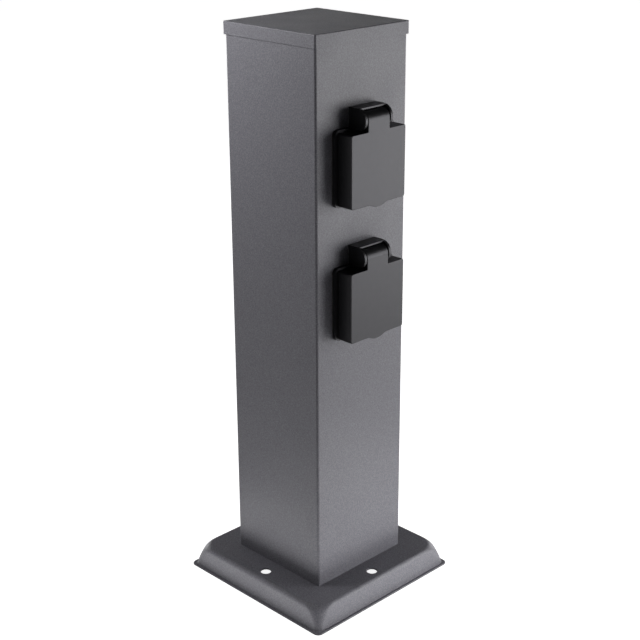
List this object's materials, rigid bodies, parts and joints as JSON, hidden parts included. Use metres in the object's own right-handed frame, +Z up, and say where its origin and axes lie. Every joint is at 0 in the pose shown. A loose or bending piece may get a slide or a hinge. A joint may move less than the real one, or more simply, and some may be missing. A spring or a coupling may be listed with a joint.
{
  "type": "garden socket post",
  "caption": "Square powder-coated garden post on a pressed foot, with recessed sockets under self-closing hinged lids, wired from terminals inside.",
  "frame": {"origin": "middle of the base's underside, on the ground", "axes": "+Z up along the post, -Y out of the face that carries the sockets, +X to the right of it"},
  "size_m": [0.13, 0.13, 0.385],
  "materials": {
    "powder_coat": "anthracite fine-texture powder coat on sheet steel",
    "black_plastic": "black moulded plastic, satin",
    "insert_plastic": "dark moulded plastic, matt",
    "white_plastic": "off-white moulded plastic",
    "black_rubber": "matt black rubber",
    "zinc_steel": "zinc plated",
    "spring_steel": "bright spring steel",
    "contact_brass": "plain brass",
    "live_insulation": "brown lead insulation",
    "neutral_insulation": "blue lead insulation",
    "earth_insulation": "green and yellow lead insulation"
  },
  "bodies": {
    "post": {"base_plate": "powder_coat", "post_tube": "powder_coat", "top_cap": "powder_coat", "foot_brackets": "zinc_steel", "foot_screws": "zinc_steel", "foot_nuts": "zinc_steel", "cable_grommet": "black_rubber", "terminal_bracket": "zinc_steel", "terminal_housing": "white_plastic", "terminal_blocks": "contact_brass", "terminal_screws": "zinc_steel", "housing_screws": "zinc_steel", "housing_nuts": "zinc_steel", "earth_stud": "zinc_steel", "earth_lug": "zinc_steel", "earth_washer": "zinc_steel", "earth_nut": "zinc_steel", "case_earth_lead": "earth_insulation", "upper_gasket": "black_rubber", "upper_frame": "black_plastic", "upper_insert": "insert_plastic", "upper_rear_cover": "insert_plastic", "upper_contact_sleeves": "contact_brass", "upper_contact_screws": "zinc_steel", "upper_earth_strap": "spring_steel", "upper_frame_screws": "zinc_steel", "upper_frame_nuts": "zinc_steel", "upper_hinge_pin": "zinc_steel", "upper_lid_spring": "spring_steel", "lower_gasket": "black_rubber", "lower_frame": "black_plastic", "lower_insert": "insert_plastic", "lower_rear_cover": "insert_plastic", "lower_contact_sleeves": "contact_brass", "lower_contact_screws": "zinc_steel", "lower_earth_strap": "spring_steel", "lower_frame_screws": "zinc_steel", "lower_frame_nuts": "zinc_steel", "lower_hinge_pin": "zinc_steel", "lower_lid_spring": "spring_steel", "upper_live_lead": "live_insulation", "upper_neutral_lead": "neutral_insulation", "upper_earth_lead": "earth_insulation", "lower_live_lead": "live_insulation", "lower_neutral_lead": "neutral_insulation", "lower_earth_lead": "earth_insulation"},
    "upper_lid": {"upper_lid": "black_plastic", "upper_lid_seal": "black_rubber"},
    "lower_lid": {"lower_lid": "black_plastic", "lower_lid_seal": "black_rubber"}
  },
  "joints": [
    {"name": "upper_lid_hinge", "type": "hinge", "parent": "post", "child": "upper_lid", "pos_m": [0, -0.0484, 0.3311], "axis": [-1, 0, 0], "range_deg": [0, 100], "stiffness_Nm_per_rad": 0.03, "springref_deg": -34.38, "deforming": ["upper_lid_spring"]},
    {"name": "lower_lid_hinge", "type": "hinge", "parent": "post", "child": "lower_lid", "pos_m": [0, -0.0484, 0.2436], "axis": [-1, 0, 0], "range_deg": [0, 100], "stiffness_Nm_per_rad": 0.03, "springref_deg": -34.38, "deforming": ["lower_lid_spring"]}
  ]
}
